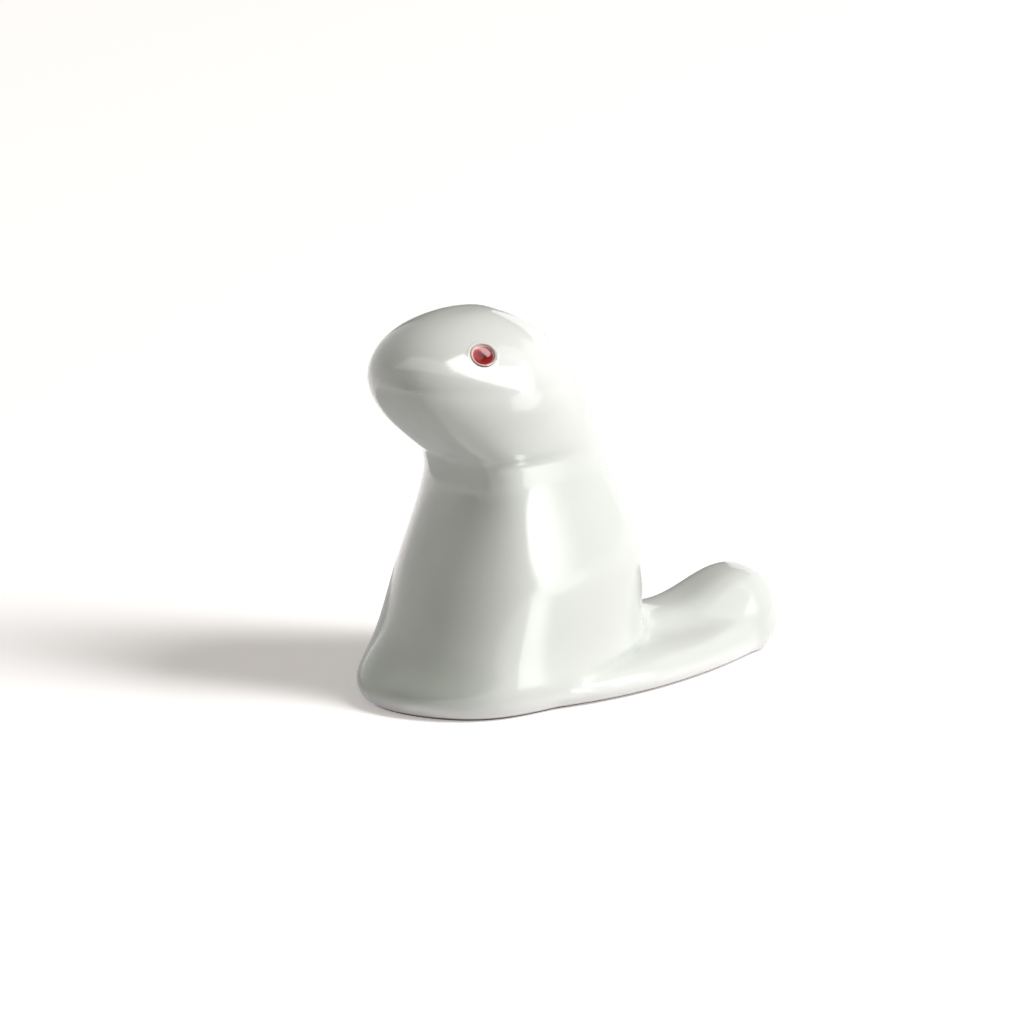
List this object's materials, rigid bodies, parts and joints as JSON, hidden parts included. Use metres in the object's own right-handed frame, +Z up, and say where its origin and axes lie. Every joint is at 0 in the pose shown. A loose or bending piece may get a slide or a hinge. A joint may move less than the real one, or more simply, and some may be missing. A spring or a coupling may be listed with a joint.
{
  "type": "chopstick rest",
  "caption": "Glazed porcelain chopstick rest shaped as a sitting animal with a round head, flat foot and low upturned tail that the sticks lie across.",
  "frame": {"origin": "on the table under the middle of the figure's length, in its mid-plane", "axes": "+X from the tail towards the snout, +Y to the animal's left, +Z up"},
  "size_m": [0.0469, 0.0222, 0.0391],
  "materials": {
    "celadon_glaze": "clear glossy pale celadon glaze over white porcelain",
    "biscuit": "unglazed fired porcelain, matt",
    "red_enamel": "glossy deep red overglaze enamel"
  },
  "bodies": {
    "root": {"left_shell": "celadon_glaze", "right_shell": "celadon_glaze", "tail": "celadon_glaze", "base_plate": "biscuit", "left_eye": "red_enamel", "right_eye": "red_enamel"}
  },
  "joints": []
}
